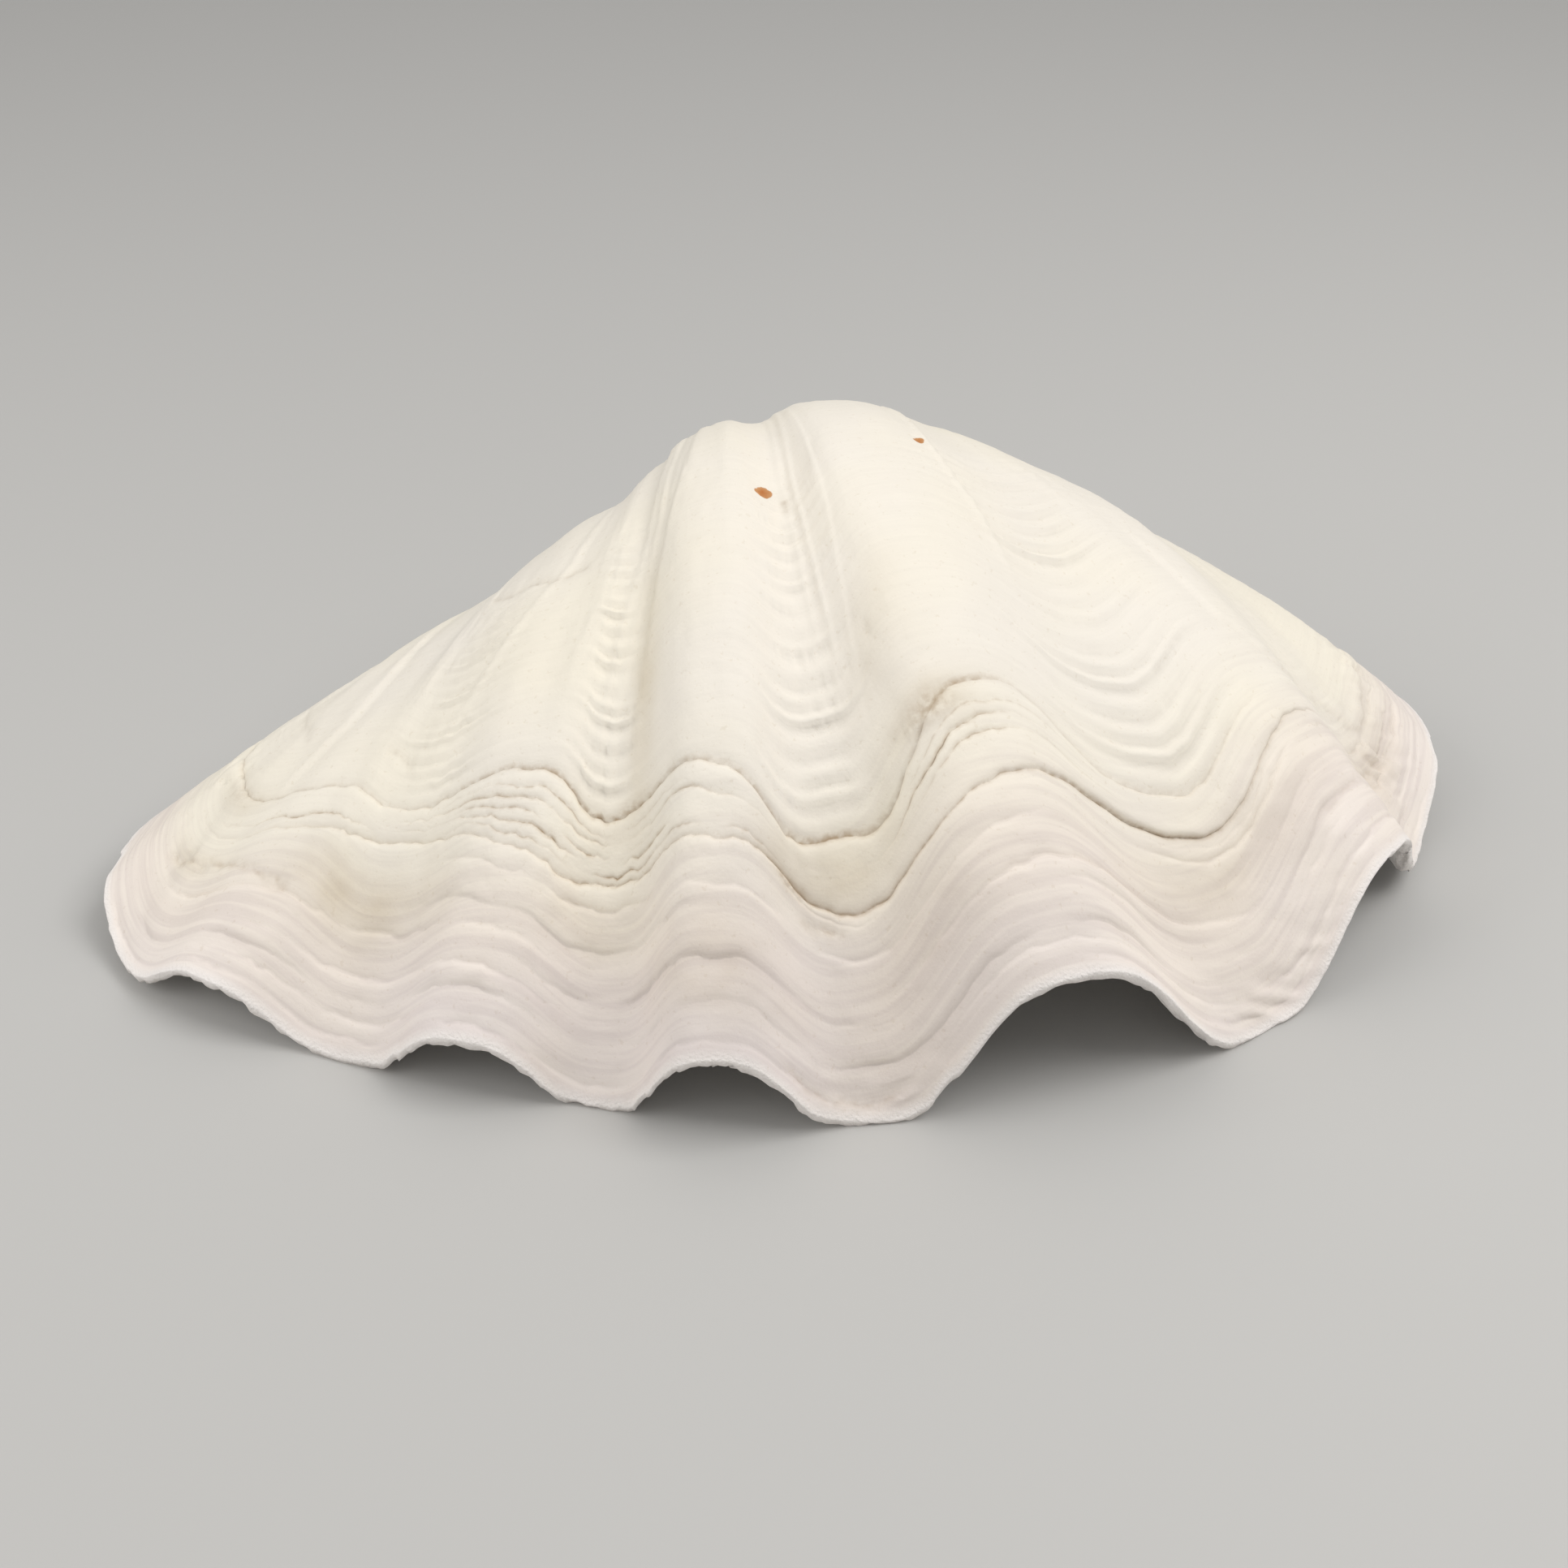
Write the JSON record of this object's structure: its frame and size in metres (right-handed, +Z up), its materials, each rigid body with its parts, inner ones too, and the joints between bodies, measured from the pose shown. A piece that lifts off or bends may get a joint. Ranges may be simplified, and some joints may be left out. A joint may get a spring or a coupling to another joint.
{
  "type": "giant clam shell",
  "caption": "Single valve of a giant clam, a deep scalloped bowl with broad radial ribs, stepped growth ledges and a thick hinge, lying hollow side down.",
  "frame": {"origin": "on the ground, below the middle of the shell's box as it lies hollow side down", "axes": "+X along the shell's length, parallel to the hinge line; +Y towards the hinge and the beak; +Z up, out of the back of the valve"},
  "size_m": [0.6457, 0.3824, 0.1997],
  "materials": {
    "shell": "matte chalky ivory, whiter towards the scalloped edge"
  },
  "bodies": {
    "root": {"valve": "shell"}
  },
  "joints": []
}
